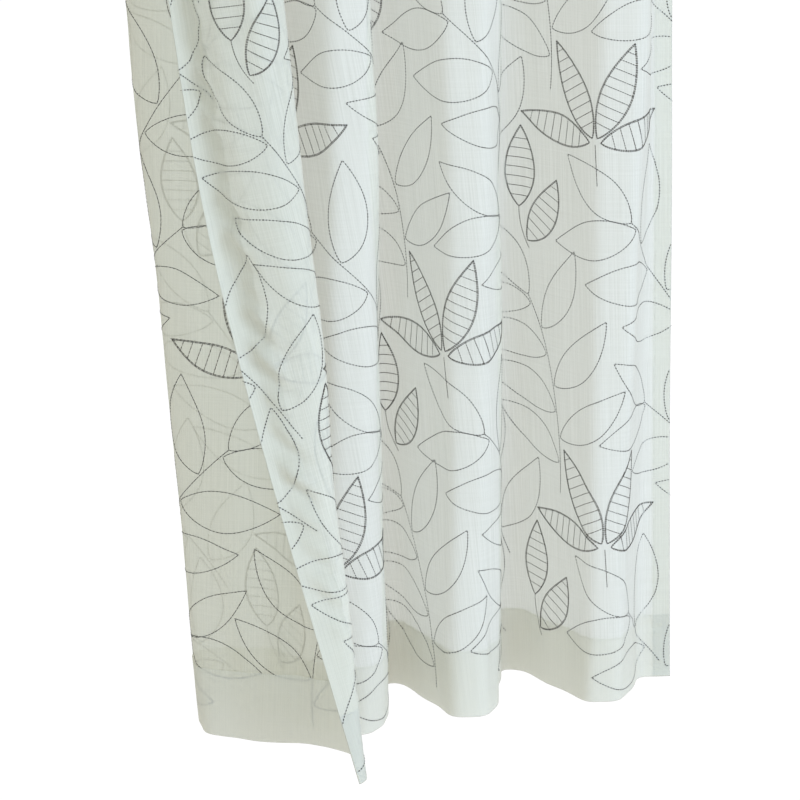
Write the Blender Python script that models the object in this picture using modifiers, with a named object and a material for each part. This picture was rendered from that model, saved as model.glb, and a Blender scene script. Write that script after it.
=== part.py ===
# Sheer voile curtain: one hung panel of thin cloth, its top edge held from above.
# Metres, +Z up, +X to the right and +Y away from the viewer, who sees the face.
# The origin lies in the top edge, midway along the second fold's return.

from collections import namedtuple
from math import cos, radians, sin

import bmesh
import bpy

# Driving sizes of the finished panel, laid flat
DROP = 1.98
FLAT_WIDTH = 1.38
BOTTOM_HEM = 0.085
TOP_HEM = 0.030
LEADING_HEM = 0.040
FAR_HEM = 0.022

# Cloth, and its three turned layers in the hems
CLOTH_THICKNESS = 0.0012
HEM_THICKNESS = 0.0022

# How the cloth turns from one stretch into the next
TURN_WIDTH = 0.028
EDGE_LEAN = 0.22

# Mesh steps across and up between the hems, with a short step at each hem's edge
COLUMNS_BETWEEN_HEMS = 99
ROWS_BETWEEN_HEMS = 18
HEM_STEP = 0.003
INTEGRATION_STEP = 0.001

VOILE_COLOUR = (0.80, 0.81, 0.77, 1.0)
VOILE_ROUGHNESS = 0.85

# Three levels shape the fall of the cloth: the hem, the breast height up to which
# the photograph shows the folds, and the heading
BREAST_HEIGHT = 0.87

# One row for each stretch of cloth, from the leading edge to the far edge.
# Widths are in millimetres at the hem, breast and heading; directions are the way
# the stretch runs in plan there, in degrees: 0 along +X and 90 away from the viewer.
Stretch = namedtuple(
    "Stretch", "name hem breast heading hem_way breast_way heading_way"
)
STRETCHES = (
    Stretch("edge_strip", 3, 24, 40, 18, 36, 0),
    Stretch("edge_roll", 1, 44, 70, 18, -60, -75),
    Stretch("turned_edge", 2, 56, 85, 18, -22, -38),
    Stretch("edge_shoulder", 3, 44, 40, 30, 50, 0),
    Stretch("edge_toe", 77, 45, 40, 104, 112, 25),
    Stretch("panel_sweep", 64, 52, 40, 150, 160, 70),
    Stretch("panel_face", 62, 93, 60, 177, 177, 82),
    Stretch("panel_heel", 62, 34, 30, 158, 150, 55),
    Stretch("left_turn", 46, 40, 28, 98, 92, 15),
    Stretch("left_back", 34, 50, 32, 25, 20, -25),
    Stretch("back_layer", 52, 115, 60, -3, -2, -62),
    Stretch("second_approach", 102, 100, 88, -42, -42, -60),
    Stretch("second_crest", 40, 40, 36, 5, 10, 4),
    Stretch("second_shoulder", 34, 12, 10, 56, 60, 60),
    Stretch("second_return", 134, 98, 106, 91, 96, 84),
    Stretch("second_recess", 15, 25, 30, -12, -10, 0),
    Stretch("third_approach", 122, 105, 104, -60, -52, -72),
    Stretch("third_crest", 36, 45, 38, 4, 0, 0),
    Stretch("third_shoulder", 38, 35, 32, 60, 60, 55),
    Stretch("third_return", 118, 86, 92, 88, 91, 84),
    Stretch("third_recess", 25, 30, 35, -14, -12, 0),
    Stretch("fourth_approach", 129, 122, 108, -56, -46, -68),
    Stretch("fourth_crest", 36, 50, 38, 8, 0, 0),
    Stretch("fourth_return", 84, 51, 84, 68, 78, 78),
    Stretch("far_tail", 38, 24, 50, 6, 10, 18),
)

# The cloth sags outwards of this stretch's end, towards the free leading edge
SAGGING_STRETCH = "edge_shoulder"

# Where the middle of the second return stands at the hem, breast and heading
ANCHOR_STRETCH = "second_return"
ANCHOR_X = (-0.009, -0.027, 0.0)
ANCHOR_Y = (0.0, -0.005, 0.0)


def clear_scene():
    for old in list(bpy.data.objects):
        bpy.data.objects.remove(old, do_unlink=True)


def at_height(values, height):
    """Straight from hem to breast, then an even curve on up to the heading."""
    hem, breast, heading = values
    low_slope = (breast - hem) / BREAST_HEIGHT
    if height <= BREAST_HEIGHT:
        return hem + low_slope * height
    span = DROP - BREAST_HEIGHT
    high_slope = (heading - breast) / span
    t = (height - BREAST_HEIGHT) / span
    start = (2 * t**3 - 3 * t**2 + 1) * breast + (t**3 - 2 * t**2 + t) * span * low_slope
    end = (3 * t**2 - 2 * t**3) * heading + (t**3 - t**2) * span * high_slope
    return start + end


def turned_share(distance):
    """Share of a turn done at a distance along the cloth from the turn's middle."""
    t = min(max(distance / TURN_WIDTH + 0.5, 0.0), 1.0)
    return t * t * (3.0 - 2.0 * t)


def stretch_ends(height):
    """Where each stretch ends along the flat width, scaled to fill that width."""
    widths = [at_height((run.hem, run.breast, run.heading), height) for run in STRETCHES]
    scale = FLAT_WIDTH / sum(widths)
    ends = []
    reached = 0.0
    for width in widths:
        reached += width * scale
        ends.append(reached)
    return ends


def plan_curve(height):
    """The cloth's line in plan at one height, as points a fixed step apart."""
    ways = [
        radians(at_height((run.hem_way, run.breast_way, run.heading_way), height))
        for run in STRETCHES
    ]
    ends = stretch_ends(height)
    turns = [
        (end, after - before) for end, before, after in zip(ends, ways, ways[1:])
    ]
    points = [(0.0, 0.0)]
    x = y = 0.0
    for step in range(round(FLAT_WIDTH / INTEGRATION_STEP)):
        along = (step + 0.5) * INTEGRATION_STEP
        way = ways[0] + sum(turn * turned_share(along - end) for end, turn in turns)
        x += cos(way) * INTEGRATION_STEP
        y += sin(way) * INTEGRATION_STEP
        points.append((x, y))
    return points


def point_along(curve, along):
    """The plan point at a distance along the flat width."""
    place = min(max(along / INTEGRATION_STEP, 0.0), len(curve) - 1.0)
    low = min(int(place), len(curve) - 2)
    share = place - low
    x0, y0 = curve[low]
    x1, y1 = curve[low + 1]
    return x0 + (x1 - x0) * share, y0 + (y1 - y0) * share


def hang_row(height, columns):
    """World positions of one row of the panel, hung in its folds."""
    curve = plan_curve(height)
    ends = stretch_ends(height)
    names = [run.name for run in STRETCHES]
    anchor = names.index(ANCHOR_STRETCH)
    anchor_x, anchor_y = point_along(curve, (ends[anchor - 1] + ends[anchor]) / 2)
    shift_x = at_height(ANCHOR_X, height) - anchor_x
    shift_y = at_height(ANCHOR_Y, height) - anchor_y
    lean = at_height((EDGE_LEAN, EDGE_LEAN, 0.0), height)
    sag_end = ends[names.index(SAGGING_STRETCH)]
    row = []
    for along in columns:
        x, y = point_along(curve, along)
        sag = lean * max(sag_end - along, 0.0)
        row.append((x + shift_x, y + shift_y, height - sag - DROP))
    return row


def stops(length, first_hem, last_hem, between):
    """Even steps over a length, with a short step where each hem's edge lies."""
    half = HEM_STEP / 2
    start = first_hem + half
    end = length - last_hem - half
    inner = [start + (end - start) * i / between for i in range(between + 1)]
    first = [0.0, first_hem / 2, first_hem - half]
    last = [length - last_hem + half, length - last_hem / 2, length]
    return first + inner + last


def make_voile():
    material = bpy.data.materials.new("voile")
    material.use_nodes = True
    shader = material.node_tree.nodes["Principled BSDF"]
    shader.inputs["Base Color"].default_value = VOILE_COLOUR
    shader.inputs["Roughness"].default_value = VOILE_ROUGHNESS
    shader.inputs["Metallic"].default_value = 0.0
    material.diffuse_color = VOILE_COLOUR
    return material


def make_panel(collection, material):
    """The whole panel with its hems, from a flat grid hung row by row."""
    columns = stops(FLAT_WIDTH, LEADING_HEM, FAR_HEM, COLUMNS_BETWEEN_HEMS)
    rows = stops(DROP, BOTTOM_HEM, TOP_HEM, ROWS_BETWEEN_HEMS)
    hung = [hang_row(height, columns) for height in rows]

    cloth = bmesh.new()
    bmesh.ops.create_grid(
        cloth, x_segments=len(columns) - 1, y_segments=len(rows) - 1, size=0.5
    )
    hem_vertices = []
    for vertex in cloth.verts:
        column = round((vertex.co.x + 0.5) * (len(columns) - 1))
        row = round((vertex.co.y + 0.5) * (len(rows) - 1))
        in_side_hem = column <= 2 or column >= len(columns) - 3
        in_end_hem = row <= 2 or row >= len(rows) - 3
        if in_side_hem or in_end_hem:
            hem_vertices.append(vertex.index)
        vertex.co = hung[row][column]
    for face in cloth.faces:
        face.smooth = True
    mesh = bpy.data.meshes.new("curtain_panel")
    cloth.to_mesh(mesh)
    cloth.free()
    mesh.materials.append(material)

    panel = bpy.data.objects.new("curtain_panel", mesh)
    collection.objects.link(panel)
    hems = panel.vertex_groups.new(name="hems")
    hems.add(hem_vertices, 1.0, "REPLACE")
    solid = panel.modifiers.new("Cloth thickness", "SOLIDIFY")
    solid.thickness = HEM_THICKNESS
    solid.offset = 0.0
    solid.vertex_group = hems.name
    solid.thickness_vertex_group = CLOTH_THICKNESS / HEM_THICKNESS
    solid.use_even_offset = True
    return panel


def main():
    clear_scene()
    curtain = bpy.data.collections.new("Sheer voile curtain")
    bpy.context.scene.collection.children.link(curtain)
    make_panel(curtain, make_voile())


main()
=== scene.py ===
# Sheer voile curtain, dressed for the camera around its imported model.
# Metres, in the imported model's own frame: the top edge is held, the hem hangs free.

from collections import namedtuple
from math import pi, radians

import bmesh
import bpy
import numpy as np
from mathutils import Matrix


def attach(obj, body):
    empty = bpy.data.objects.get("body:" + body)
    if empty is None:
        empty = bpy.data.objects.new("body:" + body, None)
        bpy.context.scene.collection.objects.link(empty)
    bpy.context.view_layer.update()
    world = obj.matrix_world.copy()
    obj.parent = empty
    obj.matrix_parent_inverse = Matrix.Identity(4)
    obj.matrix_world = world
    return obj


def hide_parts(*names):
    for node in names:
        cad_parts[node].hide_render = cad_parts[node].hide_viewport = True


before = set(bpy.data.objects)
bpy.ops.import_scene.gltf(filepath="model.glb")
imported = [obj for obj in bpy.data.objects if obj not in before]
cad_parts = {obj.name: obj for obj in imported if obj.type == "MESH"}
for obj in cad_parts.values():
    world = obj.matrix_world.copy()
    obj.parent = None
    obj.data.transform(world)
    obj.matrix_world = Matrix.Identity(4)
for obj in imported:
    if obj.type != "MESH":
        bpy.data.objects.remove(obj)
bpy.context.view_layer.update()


# Viewpoint
# Three metres in front of the cloth, a little above its middle, looking down at the
# lower half and the hem, as the curtain is shown.
LOOKING_DOWN = 15.4
viewpoint = bpy.data.cameras.new("viewpoint")
viewpoint.lens = 117.0
viewpoint.sensor_width = 36.0
viewpoint.sensor_fit = "HORIZONTAL"
viewpoint.clip_start = 0.05
viewpoint.clip_end = 60.0
camera = bpy.data.objects.new("viewpoint", viewpoint)
camera.location = (0.0084, -2.9892, -0.768)
camera.rotation_euler = (radians(90.0 - LOOKING_DOWN), 0.0, 0.0)
bpy.context.scene.collection.objects.link(camera)
bpy.context.scene.camera = camera


# Voile panel
# One cut of thin off-white voile, woven from slubbed polyester yarn. All four edges are
# turned to the reverse and sewn down, the bottom one deepest, and the panel falls from
# its top edge in soft folds, with the leading edge turned back across the front.
DROP = 1.98
FLAT_WIDTH = 1.38
BOTTOM_HEM = 0.085
TOP_HEM = 0.030
LEADING_HEM = 0.040
FAR_HEM = 0.022

# How the cloth turns from one stretch into the next, how its free edge leans, and the
# middle one of the three heights that shape its fall
TURN_WIDTH = 0.028
EDGE_LEAN = 0.22
BREAST_HEIGHT = 0.87

# Widths in millimetres and directions in plan in degrees, at the hem, breast and heading
Stretch = namedtuple("Stretch", "name hem breast heading hem_way breast_way heading_way")
STRETCHES = (
    Stretch("edge_strip", 3, 24, 40, 18, 36, 0),
    Stretch("edge_roll", 1, 44, 70, 18, -60, -75),
    Stretch("turned_edge", 2, 56, 85, 18, -22, -38),
    Stretch("edge_shoulder", 3, 44, 40, 30, 50, 0),
    Stretch("edge_toe", 77, 45, 40, 104, 112, 25),
    Stretch("panel_sweep", 64, 52, 40, 150, 160, 70),
    Stretch("panel_face", 62, 93, 60, 177, 177, 82),
    Stretch("panel_heel", 62, 34, 30, 158, 150, 55),
    Stretch("left_turn", 46, 40, 28, 98, 92, 15),
    Stretch("left_back", 34, 50, 32, 25, 20, -25),
    Stretch("back_layer", 52, 115, 60, -3, -2, -62),
    Stretch("second_approach", 102, 100, 88, -42, -42, -60),
    Stretch("second_crest", 40, 40, 36, 5, 10, 4),
    Stretch("second_shoulder", 34, 12, 10, 56, 60, 60),
    Stretch("second_return", 134, 98, 106, 91, 96, 84),
    Stretch("second_recess", 15, 25, 30, -12, -10, 0),
    Stretch("third_approach", 122, 105, 104, -60, -52, -72),
    Stretch("third_crest", 36, 45, 38, 4, 0, 0),
    Stretch("third_shoulder", 38, 35, 32, 60, 60, 55),
    Stretch("third_return", 118, 86, 92, 88, 91, 84),
    Stretch("third_recess", 25, 30, 35, -14, -12, 0),
    Stretch("fourth_approach", 129, 122, 108, -56, -46, -68),
    Stretch("fourth_crest", 36, 50, 38, 8, 0, 0),
    Stretch("fourth_return", 84, 51, 84, 68, 78, 78),
    Stretch("far_tail", 38, 24, 50, 6, 10, 18),
)

# Where the middle of one return stands at the three heights, and the stretch from whose
# end the cloth sags outwards, towards the free leading edge
ANCHOR_STRETCH = "second_return"
ANCHOR_X = (-0.009, -0.027, 0.0)
ANCHOR_Y = (0.0, -0.005, 0.0)
SAGGING_STRETCH = "edge_shoulder"

# Steps up and along the table that holds the hung cloth's plan
LEVEL_STEP = 0.01
ALONG_STEP = 0.001


def at_height(values, height):
    """Straight from hem to breast, then an even curve on up to the heading."""
    hem, breast, heading = values
    low_slope = (breast - hem) / BREAST_HEIGHT
    span = DROP - BREAST_HEIGHT
    high_slope = (heading - breast) / span
    t = np.clip((height - BREAST_HEIGHT) / span, 0.0, 1.0)
    start = (2 * t**3 - 3 * t**2 + 1) * breast + (t**3 - 2 * t**2 + t) * span * low_slope
    end = (3 * t**2 - 2 * t**3) * heading + (t**3 - t**2) * span * high_slope
    return np.where(height <= BREAST_HEIGHT, hem + low_slope * height, start + end)


def eased(share):
    """Nought to one with a soft start and a soft end."""
    t = np.clip(share, 0.0, 1.0)
    return t * t * (3.0 - 2.0 * t)


levels = np.linspace(0.0, DROP, round(DROP / LEVEL_STEP) + 1)
stations = np.linspace(0.0, FLAT_WIDTH, round(FLAT_WIDTH / ALONG_STEP) + 1)
widths = np.array([at_height((run.hem, run.breast, run.heading), levels) for run in STRETCHES])
ends = np.cumsum(widths, axis=0) * FLAT_WIDTH / widths.sum(axis=0)
ways = np.radians(
    [at_height((run.hem_way, run.breast_way, run.heading_way), levels) for run in STRETCHES]
)
way = ways[0][:, None] + sum(
    (after - before)[:, None] * eased((stations - end[:, None]) / TURN_WIDTH + 0.5)
    for end, before, after in zip(ends, ways, ways[1:])
)
step_way = (way[:, 1:] + way[:, :-1]) / 2
plan_x = np.pad(np.cumsum(np.cos(step_way), axis=1) * ALONG_STEP, ((0, 0), (1, 0)))
plan_y = np.pad(np.cumsum(np.sin(step_way), axis=1) * ALONG_STEP, ((0, 0), (1, 0)))
stretch_names = [run.name for run in STRETCHES]
anchor = stretch_names.index(ANCHOR_STRETCH)
sag_end = ends[stretch_names.index(SAGGING_STRETCH)]
anchor_along = (ends[anchor - 1] + ends[anchor]) / 2
for row, along in enumerate(anchor_along):
    plan_x[row] += at_height(ANCHOR_X, levels[row]) - np.interp(along, stations, plan_x[row])
    plan_y[row] += at_height(ANCHOR_Y, levels[row]) - np.interp(along, stations, plan_y[row])

# Slack of the cloth off its main folds, in waves: their lengths along and up the cloth,
# how far they reach, and where they start
Wave = namedtuple("Wave", "along up reach start")
WAVES = (
    Wave(0.21, 0.83, 0.0016, 0.4),
    Wave(0.13, 0.47, 0.0011, 2.1),
    Wave(0.083, -0.61, 0.0008, 4.0),
    Wave(0.057, 1.10, 0.0005, 1.3),
)

# Puckers that the seams draw in the cloth: their lengths along the seam, how high they
# stand, how far they spread from it, and what starts them apart
PUCKER_LENGTHS = (0.031, 0.019, 0.047)
PUCKER_REACH = 0.00045
PUCKER_SPREAD = 0.016
PUCKER_STARTS_ACROSS, PUCKER_STARTS_UP = 900, 700

# Slanted pleats in the leading hem, none at the very bottom and weaker above the breast
PLEAT_LENGTHS = (0.046, 0.067)
PLEAT_REACH = 0.0032
PLEAT_SPREAD = 0.017
PLEAT_LINE = 0.75 * LEADING_HEM
PLEAT_SLANT = 0.9
PLEAT_STARTS = 500
PLEAT_FROM, PLEAT_GROWTH = 0.10, 0.20
PLEAT_FADE_FROM, PLEAT_FADE, PLEAT_FADE_SHARE = 0.9, 0.4, 0.6


def ripples(place, lengths, starts):
    """Waves of several lengths added up, each with a start of its own."""
    return sum(np.sin(2 * pi * place / length + length * starts) for length in lengths)


def close_to(distance, spread):
    """One on a line, falling off softly to both its sides."""
    return np.exp(-((distance / spread) ** 2))


def relief(along, height):
    """How far the cloth stands off its folds: slack, sewn puckers and slanted pleats."""
    slack = sum(
        wave.reach * np.sin(2 * pi * (along / wave.along + height / wave.up) + wave.start)
        for wave in WAVES
    )
    at_bottom = close_to(height - BOTTOM_HEM, PUCKER_SPREAD)
    at_sides = close_to(along - LEADING_HEM, PUCKER_SPREAD)
    at_sides = at_sides + close_to(FLAT_WIDTH - FAR_HEM - along, PUCKER_SPREAD)
    puckers = at_bottom * ripples(along, PUCKER_LENGTHS, PUCKER_STARTS_ACROSS)
    puckers = puckers + at_sides * ripples(height, PUCKER_LENGTHS, PUCKER_STARTS_UP)
    grown = eased((height - PLEAT_FROM) / PLEAT_GROWTH)
    faded = 1.0 - PLEAT_FADE_SHARE * eased((height - PLEAT_FADE_FROM) / PLEAT_FADE)
    in_leading = close_to(along - PLEAT_LINE, PLEAT_SPREAD) * grown * faded
    pleats = in_leading * ripples(height + PLEAT_SLANT * along, PLEAT_LENGTHS, PLEAT_STARTS)
    return slack + PLEAT_REACH * pleats + PUCKER_REACH * puckers


def between(table, along, height):
    """A value of the plan table at any place on the cloth."""
    last_row, last_column = len(levels) - 1, len(stations) - 1
    row = np.clip(height / DROP * last_row, 0, last_row - 0.000001)
    column = np.clip(along / FLAT_WIDTH * last_column, 0, last_column - 0.000001)
    low, left = row.astype(int), column.astype(int)
    up, right = row - low, column - left
    below = table[low, left] * (1 - right) + table[low, left + 1] * right
    above = table[low + 1, left] * (1 - right) + table[low + 1, left + 1] * right
    return below * (1 - up) + above * up


def hang(along, height, lift):
    """Places on the hung cloth from places on it laid flat; lift is towards the face."""
    turned = between(way, along, height)
    off = lift + relief(along, height)
    lean = at_height((EDGE_LEAN, EDGE_LEAN, 0.0), height)
    sag = lean * np.maximum(np.interp(height, levels, sag_end) - along, 0.0)
    return np.stack(
        [
            between(plan_x, along, height) + np.sin(turned) * off,
            between(plan_y, along, height) - np.cos(turned) * off,
            height - sag - DROP,
        ],
        axis=-1,
    )


# How far the turned layers lie behind the cloth, and what share of that they have got
# to at two places close past their fold and at their raw edge
SIDE_GAP = 0.0006
END_GAP = 0.0010
GAP_PLACES = (0.0012, 0.0035)
GAP_SHARES = (0.6, 1.0, 0.9)

# Stops of the cloth's mesh: round each fold, on both sides of each sewn edge, and close
# together across the first hem, where the cloth is pleated or puckered
FOLD_STOPS = (-0.0025, -0.0010, 0.0, 0.0010, 0.0025)
PAST_FOLD = 0.004
FIRST_TURNED_STOPS, LAST_TURNED_STOPS = 9, 5
SEWN_HALF = 0.0005
CLOSE_FROM, CLOSE_TO_SHARE, CLOSE_STOPS = 0.006, 1.5, 16
STOPS_ACROSS, STOPS_UP = 205, 318


def hem_gap(distance, depth, most):
    """How far a turned layer lies behind the cloth, at a distance in from its fold."""
    gaps = [share * most for share in GAP_SHARES]
    return np.interp(distance, (0.0, *GAP_PLACES, depth), (0.0, *gaps)) * (distance > 0)


def turned_stops(length, first_hem, last_hem, steps):
    """Places across a length from one turned layer round to the other."""
    first = np.linspace(-first_hem, -PAST_FOLD, FIRST_TURNED_STOPS)
    last = np.linspace(length + PAST_FOLD, length + last_hem, LAST_TURNED_STOPS)
    fold = np.array(FOLD_STOPS)
    body = np.linspace(PAST_FOLD, length - PAST_FOLD, steps)
    edges = (first_hem, length - last_hem)
    sewn = [edge + side for edge in edges for side in (-SEWN_HALF, SEWN_HALF)]
    close = np.linspace(CLOSE_FROM, CLOSE_TO_SHARE * first_hem, CLOSE_STOPS)
    body = np.sort(np.concatenate([body, sewn, close]))
    return np.concatenate([first, fold, body, length + fold, last])


across = turned_stops(FLAT_WIDTH, LEADING_HEM, FAR_HEM, STOPS_ACROSS)
upward = turned_stops(DROP, BOTTOM_HEM, TOP_HEM, STOPS_UP)
cloth = bmesh.new()
bmesh.ops.create_grid(
    cloth, x_segments=len(across) - 1, y_segments=len(upward) - 1, size=0.5
)
on_grid = np.array([vertex.co for vertex in cloth.verts])
flat_x = across[np.rint((on_grid[:, 0] + 0.5) * (len(across) - 1)).astype(int)]
flat_y = upward[np.rint((on_grid[:, 1] + 0.5) * (len(upward) - 1)).astype(int)]
past_side = np.maximum(np.maximum(-flat_x, flat_x - FLAT_WIDTH), 0.0)
past_end = np.maximum(np.maximum(-flat_y, flat_y - DROP), 0.0)
side_gap = hem_gap(past_side, LEADING_HEM, SIDE_GAP)
end_gap = hem_gap(past_end, BOTTOM_HEM, END_GAP)
folded_x = np.where(flat_x > FLAT_WIDTH, 2 * FLAT_WIDTH - flat_x, np.abs(flat_x))
folded_y = np.where(flat_y > DROP, 2 * DROP - flat_y, np.abs(flat_y))
behind = np.where(past_end > 0, end_gap - side_gap, side_gap)
hung = hang(folded_x, folded_y, -behind)
flat_map = cloth.loops.layers.uv.new("flat")
for vertex, place in zip(cloth.verts, hung):
    vertex.co = place
for face in cloth.faces:
    face.smooth = True
    for loop in face.loops:
        loop[flat_map].uv = (flat_x[loop.vert.index], flat_y[loop.vert.index])
mesh = bpy.data.meshes.new("voile_panel")
cloth.to_mesh(mesh)
cloth.free()

# The narrow side hems take on only a share of the deep hems' tone
SIDE_HEM_SHARE = 0.45
in_side_hem = (folded_x < LEADING_HEM) | (folded_x > FLAT_WIDTH - FAR_HEM)
in_end_hem = (folded_y < BOTTOM_HEM) | (folded_y > DROP - TOP_HEM)
for label, places in (
    ("turned_layer", (past_end > 0) | (past_side > 0)),
    ("in_hem", np.maximum(in_end_hem, in_side_hem * SIDE_HEM_SHARE)),
):
    share = mesh.attributes.new(label, "FLOAT", "POINT")
    share.data.foreach_set("value", places.astype(np.float32))
panel = bpy.data.objects.new("voile_panel", mesh)
bpy.context.scene.collection.objects.link(panel)


def new_group(name, inputs, outputs):
    """An empty shader node group with its named sockets."""
    group = bpy.data.node_groups.new(name, "ShaderNodeTree")
    for socket, kind, value in inputs:
        made = group.interface.new_socket(name=socket, in_out="INPUT", socket_type=kind)
        if value is not None:
            made.default_value = value
    for socket, kind in outputs:
        group.interface.new_socket(name=socket, in_out="OUTPUT", socket_type=kind)
    return group


def node(tree, kind, **settings):
    """A new node with its settings made."""
    made = tree.nodes.new(kind)
    for name, value in settings.items():
        setattr(made, name, value)
    return made


def maths(tree, operation, *values):
    """What a maths node puts out, fed by sockets or by plain numbers."""
    made = node(tree, "ShaderNodeMath", operation=operation)
    for place, value in enumerate(values):
        if isinstance(value, (int, float)):
            made.inputs[place].default_value = value
        else:
            tree.links.new(value, made.inputs[place])
    return made.outputs[0]


def with_share(tree, base, value, share):
    """A base with a share of another value added to it."""
    return maths(tree, "ADD", base, maths(tree, "MULTIPLY", value, share))


def mixed(tree, share, first, second, blend="MIX"):
    """A colour mixed from two, each a socket or a plain colour."""
    made = node(tree, "ShaderNodeMix", data_type="RGBA", blend_type=blend)
    for name, value in (("Factor", share), ("A", first), ("B", second)):
        if isinstance(value, (tuple, float)):
            made.inputs[name].default_value = value
        else:
            tree.links.new(value, made.inputs[name])
    return made.outputs["Result"]


def slub_noise(tree, where, across_scale, up_scale):
    """Streaks of thicker yarn, long one way and narrow the other."""
    stretch = node(tree, "ShaderNodeVectorMath", operation="MULTIPLY")
    stretch.inputs[1].default_value = (across_scale, up_scale, 1.0)
    tree.links.new(where, stretch.inputs[0])
    noise = node(tree, "ShaderNodeTexNoise")
    noise.inputs["Scale"].default_value = 1.0
    noise.inputs["Detail"].default_value = 2.0
    tree.links.new(stretch.outputs[0], noise.inputs["Vector"])
    return noise.outputs["Fac"]


# The weave: 15 yarns to the centimetre each way as they show, with slubs that are thin
# and long, more of them in the warp than in the weft
YARNS_PER_METRE = 1500.0
WARP_SLUBS, WARP_SLUB_SHARE = (760.0, 7.0), 0.70
WEFT_SLUBS, WEFT_SLUB_SHARE = (9.0, 900.0), 0.30

weave = new_group(
    "voile weave",
    (
        ("Flat place", "NodeSocketVector", None),
        ("Yarns per metre", "NodeSocketFloat", YARNS_PER_METRE),
    ),
    (
        ("Slub", "NodeSocketFloat"),
        ("Yarn height", "NodeSocketFloat"),
        ("Open", "NodeSocketFloat"),
    ),
)
inside = node(weave, "NodeGroupInput")
outside = node(weave, "NodeGroupOutput")
place = inside.outputs["Flat place"]
warp_slubs = maths(weave, "MULTIPLY", slub_noise(weave, place, *WARP_SLUBS), WARP_SLUB_SHARE)
slubs = with_share(weave, warp_slubs, slub_noise(weave, place, *WEFT_SLUBS), WEFT_SLUB_SHARE)
weave.links.new(slubs, outside.inputs["Slub"])
split = node(weave, "ShaderNodeSeparateXYZ")
weave.links.new(place, split.inputs[0])
turns = maths(weave, "MULTIPLY", inside.outputs["Yarns per metre"], pi)
warp, weft = [
    maths(weave, "ABSOLUTE", maths(weave, "SINE", maths(weave, "MULTIPLY", way_along, turns)))
    for way_along in (split.outputs[0], split.outputs[1])
]
weave.links.new(maths(weave, "MAXIMUM", warp, weft), outside.inputs["Yarn height"])
off_warp, off_weft = [maths(weave, "SUBTRACT", 1.0, yarn) for yarn in (warp, weft)]
weave.links.new(maths(weave, "MULTIPLY", off_warp, off_weft), outside.inputs["Open"])

VOILE_LIT = (0.78, 0.80, 0.765, 1.0)
VOILE_THIN = (0.73, 0.75, 0.705, 1.0)
HEM_LIT = (0.80, 0.82, 0.795, 1.0)
SLUB_TONES = (0.36, 0.60)

# Painted shade: the reverse is painted darker and warmer, the turned layers a part of that
REVERSE_PAINTED_SHADE = (0.85, 0.82, 0.75, 1.0)
TURNED_PAINTED_SHADE_SHARE = 0.4
THROUGH_TINT = (1.0, 0.965, 0.88, 1.0)

# Shares of the light that the yarns stop, and of that the part that shines through them
VOILE_COVER = 0.70
HEM_COVER = 0.80
SLUB_COVER = 0.16
OPEN_COVER = 0.18
MOST_COVER = 0.985
LIGHT_THROUGH = 0.42
HEM_LIGHT_THROUGH = 0.47
SLUB_HEIGHT = 2.0

voile = bpy.data.materials.new("voile")
voile.use_nodes = True
tree = voile.node_tree
shader = tree.nodes["Principled BSDF"]
shader.inputs["Roughness"].default_value = 0.82
shader.inputs["Specular IOR Level"].default_value = 0.25
shader.inputs["Sheen Weight"].default_value = 0.15
flat_place = node(tree, "ShaderNodeUVMap", uv_map="flat")
weaving = node(tree, "ShaderNodeGroup", node_tree=weave)
tree.links.new(flat_place.outputs["UV"], weaving.inputs["Flat place"])
slub, opening = weaving.outputs["Slub"], weaving.outputs["Open"]
turned_layer = node(tree, "ShaderNodeAttribute", attribute_name="turned_layer").outputs["Fac"]
in_hem = node(tree, "ShaderNodeAttribute", attribute_name="in_hem").outputs["Fac"]
backing = node(tree, "ShaderNodeNewGeometry").outputs["Backfacing"]

tone = node(tree, "ShaderNodeMapRange")
tone.inputs["From Min"].default_value, tone.inputs["From Max"].default_value = SLUB_TONES
tree.links.new(slub, tone.inputs["Value"])
colour = mixed(tree, tone.outputs["Result"], VOILE_THIN, VOILE_LIT)
colour = mixed(tree, in_hem, colour, HEM_LIT)
# Painted shade: the reverse, and the turned layers in part, are multiplied darker and warmer
turned_painted_shade = maths(tree, "MULTIPLY", turned_layer, TURNED_PAINTED_SHADE_SHARE)
painted_shade_share = maths(tree, "MAXIMUM", backing, turned_painted_shade)
colour = mixed(tree, painted_shade_share, colour, REVERSE_PAINTED_SHADE, "MULTIPLY")
tree.links.new(colour, shader.inputs["Base Color"])
raised = with_share(tree, weaving.outputs["Yarn height"], slub, SLUB_HEIGHT)
bump = node(tree, "ShaderNodeBump")
bump.inputs["Strength"].default_value = 0.35
bump.inputs["Distance"].default_value = 0.00018
tree.links.new(raised, bump.inputs["Height"])
tree.links.new(bump.outputs["Normal"], shader.inputs["Normal"])

shining = node(tree, "ShaderNodeBsdfTranslucent")
shining_colour = mixed(tree, 1.0, colour, THROUGH_TINT, "MULTIPLY")
tree.links.new(shining_colour, shining.inputs["Color"])
yarns = node(tree, "ShaderNodeMixShader")
light_through = with_share(tree, LIGHT_THROUGH, in_hem, HEM_LIGHT_THROUGH - LIGHT_THROUGH)
tree.links.new(light_through, yarns.inputs[0])
tree.links.new(shader.outputs[0], yarns.inputs[1])
tree.links.new(shining.outputs[0], yarns.inputs[2])
cover = with_share(tree, VOILE_COVER, turned_layer, HEM_COVER - VOILE_COVER)
cover = with_share(tree, cover, maths(tree, "SUBTRACT", slub, 0.5), SLUB_COVER)
cover = with_share(tree, cover, opening, -OPEN_COVER)
clear = node(tree, "ShaderNodeBsdfTransparent")
gauze = node(tree, "ShaderNodeMixShader")
tree.links.new(maths(tree, "MINIMUM", cover, MOST_COVER), gauze.inputs[0])
tree.links.new(clear.outputs[0], gauze.inputs[1])
tree.links.new(yarns.outputs[0], gauze.inputs[2])
tree.links.new(gauze.outputs[0], tree.nodes["Material Output"].inputs["Surface"])
mesh.materials.append(voile)

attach(panel, "root")
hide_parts("curtain_panel")


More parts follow.
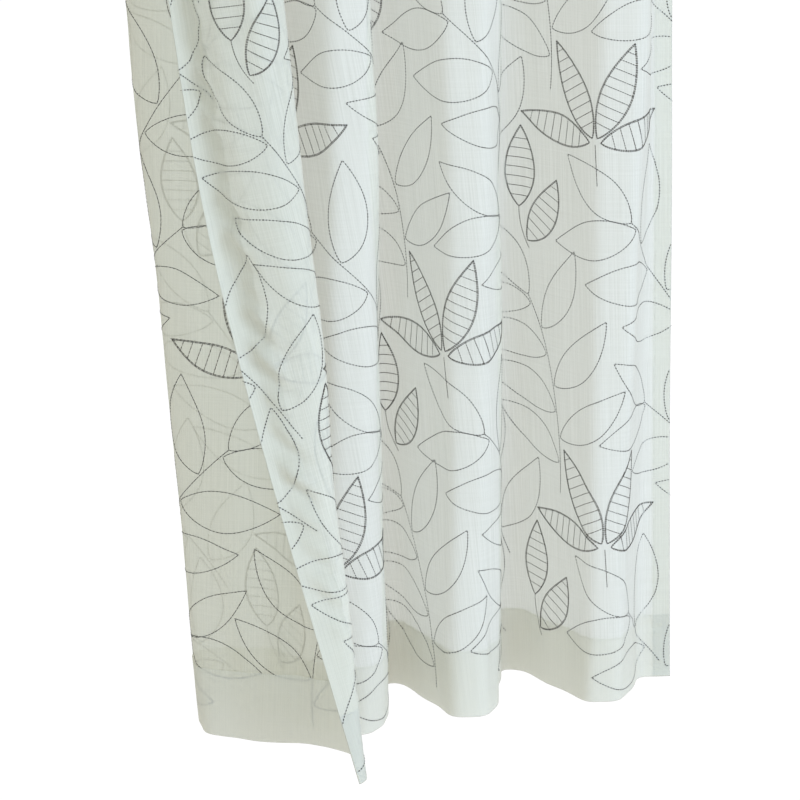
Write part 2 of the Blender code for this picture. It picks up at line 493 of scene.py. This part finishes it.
# Hem seams
# A single row of lockstitch in off-white polyester thread holds each turned edge down,
# a millimetre or two inside its raw edge, on all four sides.
SEAM_PITCH = 0.0030
SEAM_STITCH = (0.0025, 0.00040, 0.00025)
SEAM_INSET = 0.0018
SEAM_END = 0.002
SEAM_POINTS = 60
SEAM_LIFT = 0.0001
SEAM_SEED = 11

# Stitches stop this far inside the cloth's edges, and their sizes spread this much. A
# stitch's direction is read over a short step along its line and on the cloth
EDGE_CLEAR = 0.001
SIZE_SPREAD = 0.07
LINE_STEP = 0.0005
CLOTH_STEP = 0.0008


def stitch_shape(name, sides):
    """One stitch, a thread's length long and pointed where it enters the cloth."""
    stitch = bmesh.new()
    bmesh.ops.create_uvsphere(stitch, u_segments=sides, v_segments=2, radius=0.5)
    for vertex in stitch.verts:
        x, y, z = vertex.co
        vertex.co = (z, y, -x)
    for face in stitch.faces:
        face.smooth = True
    mesh = bpy.data.meshes.new(name)
    stitch.to_mesh(mesh)
    stitch.free()
    shape = bpy.data.objects.new(name, mesh)
    bpy.context.scene.collection.objects.link(shape)
    return shape


def unit(vectors):
    """The same directions, each of length one."""
    return vectors / np.linalg.norm(vectors, axis=1, keepdims=True)


def place_along(line, reached, at):
    """Points on a flat line at given distances from its start."""
    return np.stack([np.interp(at, reached, line[:, axis]) for axis in (0, 1)], axis=1)


def spaced(line, pitch):
    """Points an even pitch apart along a flat line, and its direction at each."""
    pieces = np.diff(line, axis=0)
    reached = np.pad(np.cumsum(np.hypot(pieces[:, 0], pieces[:, 1])), (1, 0))
    count = max(int(reached[-1] / pitch), 1)
    at = (np.arange(count) + 0.5) * reached[-1] / count
    run = place_along(line, reached, at + LINE_STEP) - place_along(line, reached, at - LINE_STEP)
    return place_along(line, reached, at), unit(run)


def sewing_nodes(name, shape, material):
    """Nodes that put a real stitch on every point, turned and sized as the point says."""
    group = bpy.data.node_groups.new(name, "GeometryNodeTree")
    group.interface.new_socket(name="Places", in_out="INPUT", socket_type="NodeSocketGeometry")
    group.interface.new_socket(name="Sewn", in_out="OUTPUT", socket_type="NodeSocketGeometry")
    start, end = node(group, "NodeGroupInput"), node(group, "NodeGroupOutput")
    one = node(group, "GeometryNodeObjectInfo")
    one.inputs["Object"].default_value = shape
    each = node(group, "GeometryNodeInstanceOnPoints")
    turn = node(group, "FunctionNodeAxesToRotation", primary_axis="X", secondary_axis="Z")
    for label, socket in (
        ("run", turn.inputs[0]),
        ("out", turn.inputs[1]),
        ("size", each.inputs["Scale"]),
    ):
        read = node(group, "GeometryNodeInputNamedAttribute", data_type="FLOAT_VECTOR")
        read.inputs["Name"].default_value = label
        group.links.new(read.outputs["Attribute"], socket)
    real = node(group, "GeometryNodeRealizeInstances")
    finish = node(group, "GeometryNodeSetMaterial")
    finish.inputs["Material"].default_value = material
    group.links.new(start.outputs[0], each.inputs["Points"])
    group.links.new(one.outputs["Geometry"], each.inputs["Instance"])
    group.links.new(turn.outputs[0], each.inputs["Rotation"])
    group.links.new(each.outputs["Instances"], real.inputs[0])
    group.links.new(real.outputs[0], finish.inputs["Geometry"])
    group.links.new(finish.outputs[0], end.inputs[0])
    return group


def sew(name, lines, pitch, size, lift, shape, material, seed):
    """Stitches along flat lines, hung with the cloth, joined in one mesh."""
    found = [spaced(line, pitch) for line in lines]
    flat = np.concatenate([points for points, _ in found])
    run = np.concatenate([direction for _, direction in found])
    on_cloth = (
        (flat[:, 0] > EDGE_CLEAR)
        & (flat[:, 0] < FLAT_WIDTH - EDGE_CLEAR)
        & (flat[:, 1] > EDGE_CLEAR)
        & (flat[:, 1] < DROP - EDGE_CLEAR)
    )
    (x, y), (run_x, run_y) = flat[on_cloth].T, run[on_cloth].T
    centre = hang(x, y, lift)
    ahead = hang(x + run_x * CLOTH_STEP, y + run_y * CLOTH_STEP, lift) - centre
    beside = hang(x - run_y * CLOTH_STEP, y + run_x * CLOTH_STEP, lift) - centre
    chance = np.random.default_rng(seed)
    sizes = np.array(size) * (1.0 + chance.normal(0.0, SIZE_SPREAD, (len(x), 3)))
    tones = chance.normal(0.0, 1.0, len(x))

    mesh = bpy.data.meshes.new(name + "_places")
    mesh.vertices.add(len(x))
    mesh.vertices.foreach_set("co", centre.astype(np.float32).ravel())
    for label, kind, field, values in (
        ("run", "FLOAT_VECTOR", "vector", unit(ahead)),
        ("out", "FLOAT_VECTOR", "vector", unit(np.cross(ahead, beside))),
        ("size", "FLOAT_VECTOR", "vector", sizes),
        ("tone", "FLOAT", "value", tones),
    ):
        made = mesh.attributes.new(label, kind, "POINT")
        made.data.foreach_set(field, values.astype(np.float32).ravel())
    places = bpy.data.objects.new(name + "_places", mesh)
    bpy.context.scene.collection.objects.link(places)
    sewing = places.modifiers.new("Sewing", "NODES")
    sewing.node_group = sewing_nodes(name, shape, material)

    graph = bpy.context.evaluated_depsgraph_get()
    sewn = bpy.data.meshes.new_from_object(places.evaluated_get(graph))
    sewn.name = name
    piece = bpy.data.objects.new(name, sewn)
    bpy.context.scene.collection.objects.link(piece)
    bpy.data.objects.remove(places, do_unlink=True)
    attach(piece, "root")
    return piece


# The turns of a thread's plies and the fuzz of its fibres, shared by all three threads
thread_ply = new_group(
    "thread ply",
    (("Turns", "NodeSocketFloat", 2600.0),),
    (("Ply", "NodeSocketFloat"), ("Fuzz", "NodeSocketFloat")),
)
inside = node(thread_ply, "NodeGroupInput")
outside = node(thread_ply, "NodeGroupOutput")
where = node(thread_ply, "ShaderNodeTexCoord")
ply = node(thread_ply, "ShaderNodeTexWave", bands_direction="DIAGONAL")
ply.inputs["Distortion"].default_value = 1.5
thread_ply.links.new(where.outputs["Object"], ply.inputs["Vector"])
thread_ply.links.new(inside.outputs["Turns"], ply.inputs["Scale"])
thread_ply.links.new(ply.outputs["Fac"], outside.inputs["Ply"])
fuzz = node(thread_ply, "ShaderNodeTexNoise")
fuzz.inputs["Scale"].default_value = 900.0
thread_ply.links.new(where.outputs["Object"], fuzz.inputs["Vector"])
thread_ply.links.new(fuzz.outputs["Fac"], outside.inputs["Fuzz"])

# How far up its range of tones a thread starts, and what its stitch, its ply and its
# fuzz add to that
TONE_START = 0.25
TONE_STITCH, TONE_PLY, TONE_FUZZ = 0.16, 0.3, 0.2


def thread(name, dark, light, roughness):
    """Twisted sewing or embroidery thread, its tone changing from stitch to stitch."""
    made = bpy.data.materials.new(name)
    made.use_nodes = True
    tree = made.node_tree
    shader = tree.nodes["Principled BSDF"]
    shader.inputs["Roughness"].default_value = roughness
    shader.inputs["Specular IOR Level"].default_value = 0.6
    twist = node(tree, "ShaderNodeGroup", node_tree=thread_ply)
    tone = node(tree, "ShaderNodeAttribute", attribute_name="tone")
    share = with_share(tree, TONE_START, tone.outputs["Fac"], TONE_STITCH)
    share = with_share(tree, share, twist.outputs["Ply"], TONE_PLY)
    share = with_share(tree, share, twist.outputs["Fuzz"], TONE_FUZZ)
    tree.links.new(mixed(tree, share, dark, light), shader.inputs["Base Color"])
    bump = node(tree, "ShaderNodeBump")
    bump.inputs["Strength"].default_value = 0.5
    bump.inputs["Distance"].default_value = 0.00008
    tree.links.new(twist.outputs["Ply"], bump.inputs["Height"])
    tree.links.new(bump.outputs["Normal"], shader.inputs["Normal"])
    return made


seam_thread = thread(
    "seam thread",
    dark=(0.50, 0.50, 0.46, 1.0),
    light=(0.60, 0.61, 0.57, 1.0),
    roughness=0.85,
)
round_stitch = stitch_shape("round_stitch", 4)
flat_stitch = stitch_shape("flat_stitch", 3)


def straight(x0, y0, x1, y1):
    """A straight flat line between two places on the cloth."""
    share = np.linspace(0.0, 1.0, SEAM_POINTS)[:, None]
    return np.array([[x0, y0]]) * (1 - share) + np.array([[x1, y1]]) * share


leading, far = LEADING_HEM - SEAM_INSET, FLAT_WIDTH - FAR_HEM + SEAM_INSET
low, high = BOTTOM_HEM - SEAM_INSET, DROP - TOP_HEM + SEAM_INSET
seams = [straight(SEAM_END, up, FLAT_WIDTH - SEAM_END, up) for up in (low, high)]
seams += [straight(along, SEAM_END, along, DROP - SEAM_END) for along in (leading, far)]
hem_seams = sew(
    "hem_seams", seams, SEAM_PITCH, SEAM_STITCH, SEAM_LIFT, round_stitch, seam_thread, SEAM_SEED
)


# Plain leaf embroidery
# Branches of open leaves, run in grey rayon thread by a machine: a row of small separate
# stitches on the face, and a thin unbroken line on the reverse. The design is a general
# leaf pattern that repeats every 345 by 495 mm, each column half a repeat up.
REPEAT_WIDTH = 0.345
REPEAT_HEIGHT = 0.495
REPEATS = range(-1, 5)
STEMS_FROM = 0.02
LEAVES_FROM = 0.008
MM_PER_METRE = 1000.0

# Places and lengths in millimetres, leans and bends in degrees from upright
Branch = namedtuple(
    "Branch", "name across up lean stem bend leaves leaf_length leaf_width spread first_side"
)
PLAIN_BRANCHES = (
    Branch("tall", 139, 11, 8, 250, -38, 8, 124, 43, 58, -1),
    Branch("arched", 47, -88, -22, 245, -27, 7, 125, 50, 59, 1),
    Branch("twig", 35, 301, -40, 98, -12, 4, 112, 44, 60, -1),
)

# How leaves sit on a branch: from where to where up the stem, how much less they spread
# by its tip, their stalk, how they shrink away from the largest one, and how they curl
STEM_POINTS, LEAF_POINTS = 40, 36
FIRST_LEAF, LEAVES_SPAN = 0.16, 0.80
SPREAD_LOSS = 8
STALK = 3.0
SHRINK, LARGEST_LEAF = 0.18, 0.4
LEAF_CURL = -20

# A leaf is widest nearer its foot, a little blunt, and fuller on the right of its rib
FULL_PLACE, FULL_SHAPE = 0.85, 0.9
RIGHT_FULLNESS, LEFT_FULLNESS = 1.08, 0.92

FACE_PITCH = 0.0036
FACE_STITCH = (0.0028, 0.0016, 0.0007)
REVERSE_PITCH = 0.0050
REVERSE_STITCH = (0.0080, 0.00115, 0.0005)
THREAD_LIFT = 0.00025
PLAIN_SEED = 21

# The embroidery is made in two pieces, below and above a metre from the hem
HALVES = (("low", -1.0, 1.0), ("high", 1.0, 3.0))


def upright(leans):
    """Flat directions that lean to the right of upright by so many degrees."""
    return np.stack([np.sin(np.radians(leans)), np.cos(np.radians(leans))], axis=-1)


def bent_line(foot, leans, length):
    """A flat line from its foot, given how it leans from upright along its length."""
    rise = upright((leans[1:] + leans[:-1]) / 2) * (length / (len(leans) - 1))
    return np.array(foot) + np.pad(np.cumsum(rise, axis=0), ((1, 0), (0, 0)))


def leaf_sides(foot, lean, length, width, bend):
    """A leaf's two sides, from its foot to its tip."""
    share = np.linspace(0.0, 1.0, LEAF_POINTS)
    leans = lean + bend * (share - 0.5)
    rib = bent_line(foot, leans, length)
    out = upright(leans + 90.0)
    swell = (width / 2 * np.sin(pi * share**FULL_PLACE) ** FULL_SHAPE)[:, None]
    return rib + out * swell * RIGHT_FULLNESS, rib - out * swell * LEFT_FULLNESS


def branch_leaves(branch):
    """A branch's stem and the sides of its leaves, set in turn to each side of it."""
    leans = branch.lean + branch.bend * np.linspace(0.0, 1.0, STEM_POINTS)
    stem = bent_line((branch.across, branch.up), leans, branch.stem)
    leaves = []
    side = branch.first_side
    for count in range(branch.leaves):
        at_tip = count == branch.leaves - 1
        share = 1.0 if at_tip else FIRST_LEAF + LEAVES_SPAN * count / max(branch.leaves - 2, 1)
        place = int((STEM_POINTS - 1) * share)
        turn = 0 if at_tip else side
        lean = leans[place] + turn * (branch.spread - SPREAD_LOSS * count / branch.leaves)
        foot = stem[place] + (0.0 if at_tip else STALK) * upright(lean)
        size = 1.0 - SHRINK * abs(count / branch.leaves - LARGEST_LEAF)
        length, width = branch.leaf_length * size, branch.leaf_width * size
        leaves.append(leaf_sides(foot, lean, length, width, LEAF_CURL * turn))
        side = -side
    return stem, leaves


def repeated(stems, leaves):
    """Every repeat of a motif's lines over the cloth, leaving out leaves cut by its hem."""
    lines = []
    for column in REPEATS:
        for row in REPEATS:
            up = (row + 0.5 * (column % 2)) * REPEAT_HEIGHT
            shift = np.array([column * REPEAT_WIDTH, up])
            for stem in stems:
                laid = stem / MM_PER_METRE + shift
                lines.append(laid[laid[:, 1] > STEMS_FROM])
            for sides in leaves:
                laid = [side / MM_PER_METRE + shift for side in sides]
                if np.concatenate(laid)[:, 1].min() > LEAVES_FROM:
                    lines.extend(laid)
    return [line for line in lines if len(line) > 2]


def embroider(name, lines, pitch, stitch, material, seed):
    """Separate stitches on the face and an unbroken line on the reverse."""
    pieces = []
    for half, low, high in HALVES:
        part = [line for line in lines if low <= line[:, 1].mean() < high]
        for side, side_pitch, size, lift, shape, side_seed in (
            ("face", pitch, stitch, THREAD_LIFT, round_stitch, seed),
            ("reverse", REVERSE_PITCH, REVERSE_STITCH, -THREAD_LIFT, flat_stitch, seed + 1),
        ):
            sewn_name = f"{name}_{side}_{half}"
            pieces.append(
                sew(sewn_name, part, side_pitch, size, lift, shape, material, side_seed)
            )
    return pieces


stems, leaves = [], []
for branch in PLAIN_BRANCHES:
    stem, sides = branch_leaves(branch)
    stems.append(stem)
    leaves.extend(sides)
plain_lines = repeated(stems, leaves)

grey_thread = thread(
    "grey embroidery thread",
    dark=(0.022, 0.020, 0.018, 1.0),
    light=(0.085, 0.08, 0.073, 1.0),
    roughness=0.36,
)
plain_leaves = embroider(
    "plain_leaves", plain_lines, FACE_PITCH, FACE_STITCH, grey_thread, PLAIN_SEED
)


# Ladder leaf embroidery
# Darker leaves, each outlined twice and filled with cross bars like the rungs of a
# ladder, run in brown-grey rayon thread: fans of four and small pairs.
FAN_ACROSS, FAN_UP, FAN_STEM, FAN_LEAN = 211, -95, 49, -2.0
FAN_LEAVES, FAN_SPREAD = 4, 150
FAN_STALK, FAN_SHRINK, FAN_CURL = 8.0, 0.22, -22
FAN_LEAF = (126, 40)
FAN_STEM_POINTS = 12
PAIR = Branch("pair", 98, 310, -34, 53, 38, 2, 101, 44, 60, 1)
RUNG_STEP = 11.5
FIRST_RUNG, LAST_RUNG = 0.14, 0.93
INNER_OUTLINE = 1.3
LEAST_HALF = 0.1
DARK_PITCH = 0.0027
DARK_STITCH = (0.0028, 0.0012, 0.0007)
DARK_SEED = 31


def ladder_lines(sides):
    """A leaf's outline, a second one just inside it, and its rungs."""
    right, left = sides
    rib = (right + left) / 2
    half = np.linalg.norm(right - left, axis=1, keepdims=True) / 2
    inner = np.clip(1.0 - INNER_OUTLINE / np.maximum(half, LEAST_HALF), 0.0, 1.0)
    length = np.linalg.norm(rib[-1] - rib[0])
    lines = [right, left, rib + (right - rib) * inner, rib + (left - rib) * inner]
    for place in np.arange(FIRST_RUNG, LAST_RUNG, RUNG_STEP / length):
        at = place * (len(rib) - 1)
        low, share = int(at), at - int(at)
        ends = [side[low] * (1 - share) + side[low + 1] * share for side in (right, left)]
        lines.append(np.array([ends[0], (ends[0] + ends[1]) / 2, ends[1]]))
    return lines


fan_stem = bent_line((FAN_ACROSS, FAN_UP), np.full(FAN_STEM_POINTS, FAN_LEAN), FAN_STEM)
fan = []
for count in range(FAN_LEAVES):
    part = count / (FAN_LEAVES - 1) - 0.5
    lean = FAN_LEAN + FAN_SPREAD * part
    foot = fan_stem[-1] + FAN_STALK * upright(lean)
    length, width = (size * (1.0 - FAN_SHRINK * abs(part)) for size in FAN_LEAF)
    fan.append(leaf_sides(foot, lean, length, width, FAN_CURL * part))
pair_stem, pair = branch_leaves(PAIR)
ladder_leaves = repeated([fan_stem, pair_stem], [ladder_lines(sides) for sides in fan + pair])

dark_thread = thread(
    "dark embroidery thread",
    dark=(0.030, 0.025, 0.020, 1.0),
    light=(0.10, 0.085, 0.07, 1.0),
    roughness=0.36,
)
ladders = embroider(
    "ladder_leaves", ladder_leaves, DARK_PITCH, DARK_STITCH, dark_thread, DARK_SEED
)
for shape in (round_stitch, flat_stitch):
    bpy.data.objects.remove(shape, do_unlink=True)


# Floor
# A broad matt white studio floor, a third of a metre below the hem. It glows enough to
# read as plain white, and less where it is seen through the cloth.
FLOOR_LEVEL = -DROP - 0.35
FLOOR_REACH = 40.0
WHITE = (1.0, 1.0, 1.0, 1.0)
WHITE_GLOW = 1.03
WHITE_BEHIND = 0.56
ground = bmesh.new()
bmesh.ops.create_grid(ground, x_segments=8, y_segments=8, size=FLOOR_REACH)
for vertex in ground.verts:
    vertex.co.z = FLOOR_LEVEL
mesh = bpy.data.meshes.new("studio_floor")
ground.to_mesh(mesh)
ground.free()
floor = bpy.data.objects.new("studio_floor", mesh)
bpy.context.scene.collection.objects.link(floor)


def white_glow(tree):
    """The white's strength, weaker where it is looked at through the cloth."""
    path = node(tree, "ShaderNodeLightPath")
    behind = maths(tree, "MINIMUM", path.outputs["Transparent Depth"], 1.0)
    behind = maths(tree, "MULTIPLY", behind, path.outputs["Is Camera Ray"])
    return with_share(tree, WHITE_GLOW, behind, WHITE_BEHIND - WHITE_GLOW)


paper = bpy.data.materials.new("matt white floor")
paper.use_nodes = True
shader = paper.node_tree.nodes["Principled BSDF"]
shader.inputs["Base Color"].default_value = (0.02, 0.02, 0.02, 1.0)
shader.inputs["Roughness"].default_value = 0.95
shader.inputs["Specular IOR Level"].default_value = 0.0
shader.inputs["Emission Color"].default_value = WHITE
paper.node_tree.links.new(white_glow(paper.node_tree), shader.inputs["Emission Strength"])
mesh.materials.append(paper)


# Studio light
# A broad soft lamp in front on the right, a weaker one near the middle to fill the
# folds, and an even pale surround that looks as white as the floor does.
LIT_PLACE = (0.0, 0.0, -1.3)


def lamp(name, place, size, power, tint):
    """A soft rectangular lamp turned to the cloth, itself out of sight."""
    light = bpy.data.lights.new(name, "AREA")
    light.shape = "RECTANGLE"
    light.size, light.size_y = size
    light.energy = power
    light.color = tint
    made = bpy.data.objects.new(name, light)
    made.location = place
    made.visible_camera = False
    aim = np.array(LIT_PLACE) - np.array(place)
    flat = np.hypot(aim[0], aim[1])
    made.rotation_euler = (pi / 2 + np.arctan2(aim[2], flat), 0.0, np.arctan2(-aim[0], aim[1]))
    bpy.context.scene.collection.objects.link(made)


lamp(
    "right_lamp",
    place=(4.9, -3.9, -0.3),
    size=(2.8, 4.2),
    power=372.0,
    tint=(0.62, 0.78, 1.0),
)
lamp(
    "front_lamp",
    place=(-1.0, -5.6, 0.4),
    size=(3.0, 3.0),
    power=104.0,
    tint=(0.70, 0.88, 1.0),
)

surround = bpy.data.worlds.new("pale surround")
surround.use_nodes = True
tree = surround.node_tree
even = tree.nodes["Background"]
even.inputs["Color"].default_value = (0.985, 0.975, 0.87, 1.0)
even.inputs["Strength"].default_value = 0.62
seen = node(tree, "ShaderNodeBackground")
seen.inputs["Color"].default_value = WHITE
tree.links.new(white_glow(tree), seen.inputs["Strength"])
looked_at = node(tree, "ShaderNodeLightPath")
shown = node(tree, "ShaderNodeMixShader")
tree.links.new(looked_at.outputs["Is Camera Ray"], shown.inputs[0])
tree.links.new(even.outputs[0], shown.inputs[1])
tree.links.new(seen.outputs[0], shown.inputs[2])
tree.links.new(shown.outputs[0], tree.nodes["World Output"].inputs["Surface"])
bpy.context.scene.world = surround
bpy.context.scene.view_settings.view_transform = "Standard"
